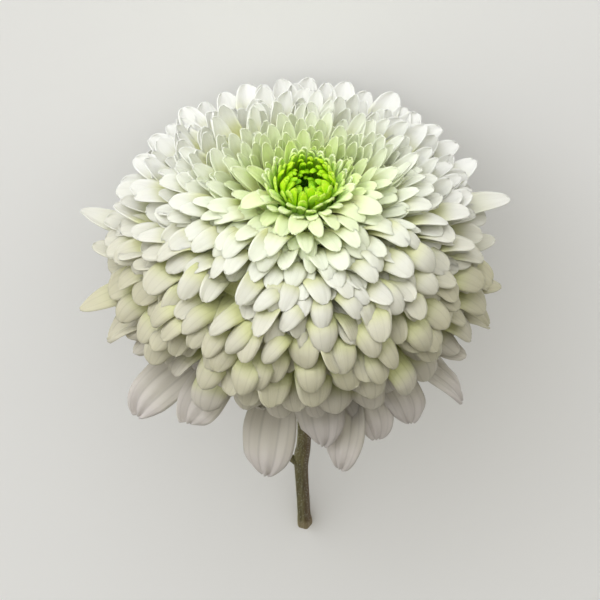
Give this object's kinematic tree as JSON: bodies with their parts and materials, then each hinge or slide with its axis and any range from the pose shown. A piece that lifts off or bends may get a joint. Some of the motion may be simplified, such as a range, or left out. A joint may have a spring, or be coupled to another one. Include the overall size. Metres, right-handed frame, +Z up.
{
  "type": "disbud chrysanthemum",
  "caption": "Cut white chrysanthemum with one large domed bloom, hanging outer petals, a green heart and a short leafless stem, lying on its side.",
  "frame": {"origin": "on the table under the middle of the lying flower's bounding box", "axes": "+Y from the stem's cut end towards the bloom, +Z up from the table, +X across the bloom"},
  "size_m": [0.1298, 0.176, 0.1139],
  "materials": {
    "white_petals": "soft satin petal",
    "green_heart": "soft satin petal",
    "green_bracts": "matte leaf",
    "stem": "matte woody stem"
  },
  "bodies": {
    "root": {"white_petals": "white_petals", "green_heart": "green_heart", "green_bracts": "green_bracts", "stem": "stem"}
  },
  "joints": []
}
